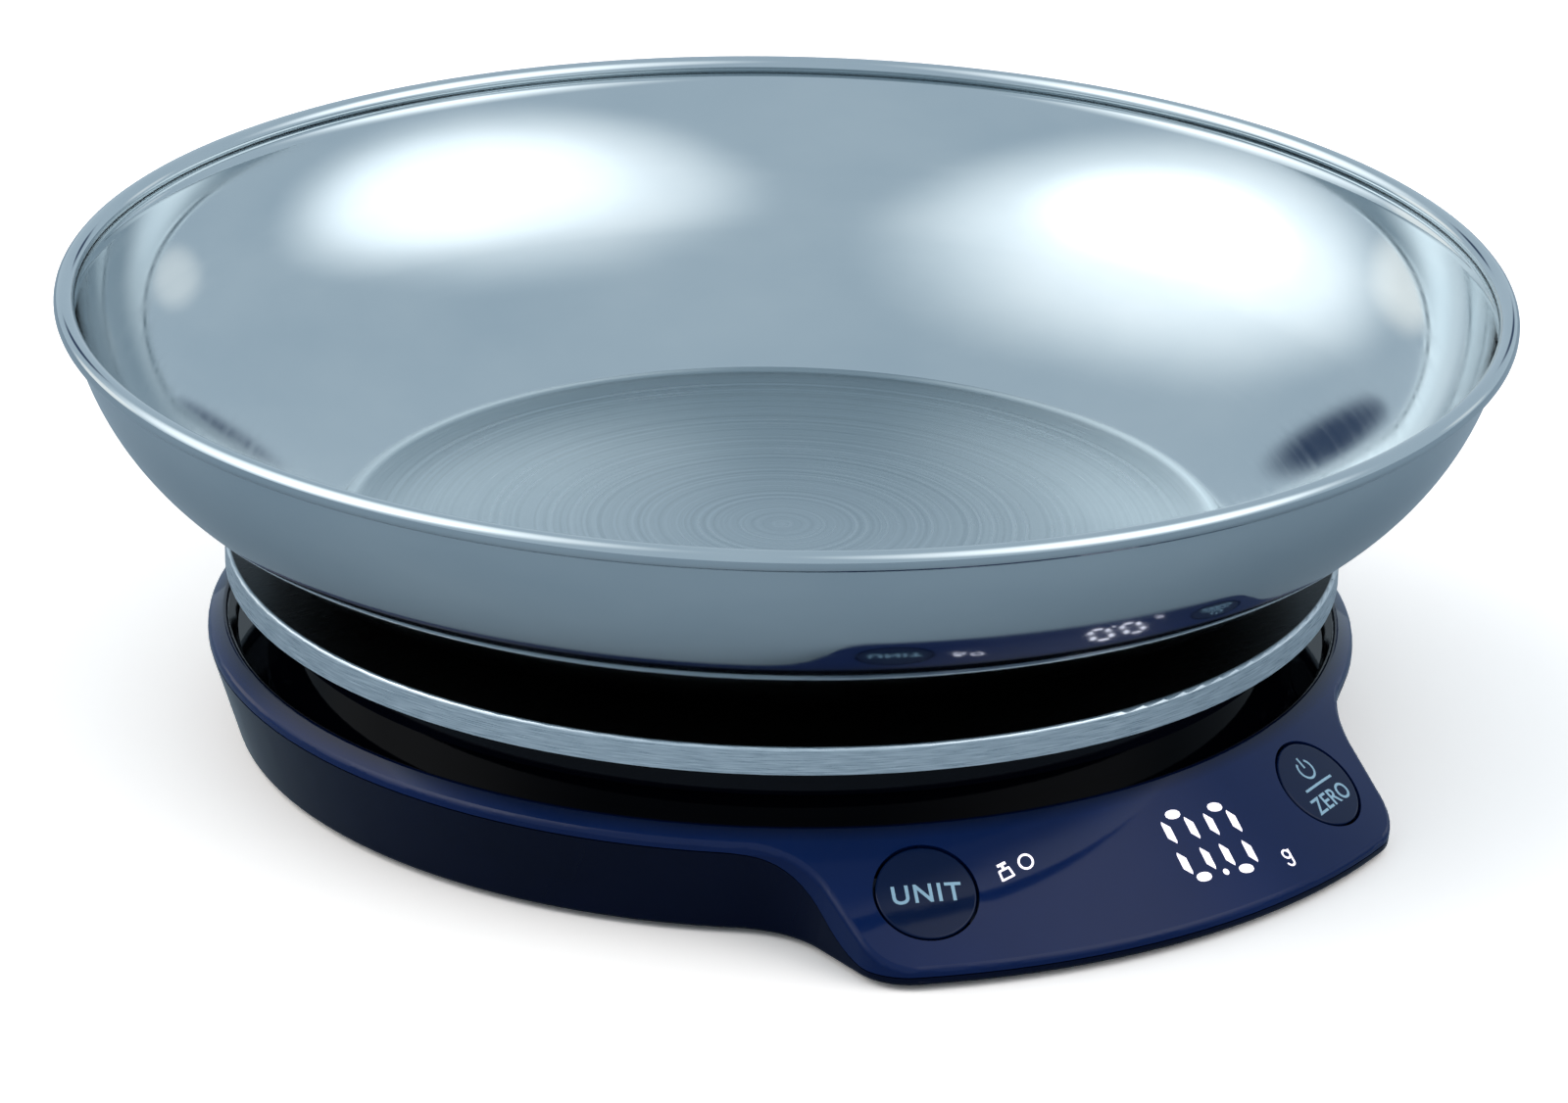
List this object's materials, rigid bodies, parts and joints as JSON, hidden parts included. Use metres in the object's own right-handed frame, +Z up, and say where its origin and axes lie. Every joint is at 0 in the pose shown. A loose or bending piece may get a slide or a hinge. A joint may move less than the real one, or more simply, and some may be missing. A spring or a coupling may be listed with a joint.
{
  "type": "kitchen scale",
  "caption": "Round electronic kitchen scale with a removable stainless steel bowl, a brushed weighing platform and a sloping front control panel with keys and a display.",
  "frame": {"origin": "on the resting surface, on the axis of the bowl and platform", "axes": "+Z up along the platform axis, the control panel faces -Y"},
  "size_m": [0.24, 0.24, 0.0764],
  "materials": {
    "bowl_steel": "polished stainless steel",
    "platform_steel": "fine brushed stainless steel",
    "carrier_plastic": "gloss moulded ABS",
    "pad_foam": "closed-cell foam",
    "screw_steel": "zinc plated",
    "cell_aluminium": "milled",
    "gauge_silicone": "white potting",
    "cover_navy": "high-gloss moulded ABS",
    "housing_navy": "satin-gloss moulded ABS",
    "key_navy": "high-gloss moulded ABS",
    "switch_black": "moulded",
    "board_green": "solder mask",
    "display_grey": "moulded reflector",
    "film_smoke": "smoked diffuser film",
    "battery_case": "plain sleeve",
    "contact_nickel": "nickel plated",
    "foot_rubber": "moulded rubber",
    "cable_sleeve": "soft insulation"
  },
  "bodies": {
    "housing": {"lower_housing": "housing_navy", "top_cover": "cover_navy", "load_cell": "cell_aluminium", "gauge_cover": "gauge_silicone", "lower_spacer": "cell_aluminium", "lower_cell_screws": "screw_steel", "overload_stop": "screw_steel", "unit_switch": "switch_black", "zero_switch": "switch_black", "unit_switch_board": "board_green", "zero_switch_board": "board_green", "display_film": "film_smoke", "display_module": "display_grey", "display_board": "board_green", "main_board": "board_green", "board_parts": "switch_black", "board_screws": "screw_steel", "batteries": "battery_case", "battery_contacts": "contact_nickel", "battery_springs": "contact_nickel", "rubber_feet": "foot_rubber", "housing_screws": "screw_steel", "cell_cable": "cable_sleeve", "battery_cable": "cable_sleeve"},
    "platform": {"platform_cap": "platform_steel", "platform_carrier": "carrier_plastic", "cap_pads": "pad_foam", "upper_cell_screws": "screw_steel", "upper_spacer": "cell_aluminium"},
    "bowl": {"bowl": "bowl_steel"},
    "unit_key": {"unit_key": "key_navy", "unit_switch_plunger": "switch_black"},
    "zero_key": {"zero_key": "key_navy", "zero_switch_plunger": "switch_black"},
    "battery_door": {"battery_door": "housing_navy"}
  },
  "joints": [
    {"name": "platform_press", "type": "slide", "parent": "housing", "child": "platform", "axis": [0, 0, -1], "range_m": [0, 0.0005], "stiffness_N_per_m": 100000, "deforming": ["load_cell"]},
    {"name": "bowl_lift", "type": "slide", "parent": "platform", "child": "bowl", "axis": [0, 0, 1], "range_m": [0, 0.12]},
    {"name": "unit_press", "type": "slide", "parent": "housing", "child": "unit_key", "axis": [0.2356, 0.5688, -0.788], "range_m": [0, 0.0004], "stiffness_N_per_m": 4000},
    {"name": "zero_press", "type": "slide", "parent": "housing", "child": "zero_key", "axis": [-0.2356, 0.5688, -0.788], "range_m": [0, 0.0004], "stiffness_N_per_m": 4000},
    {"name": "battery_door_hinge", "type": "hinge", "parent": "housing", "child": "battery_door", "pos_m": [0, 0.0176, 0.0026], "axis": [-1, 0, 0], "range_deg": [0, 70]}
  ]
}
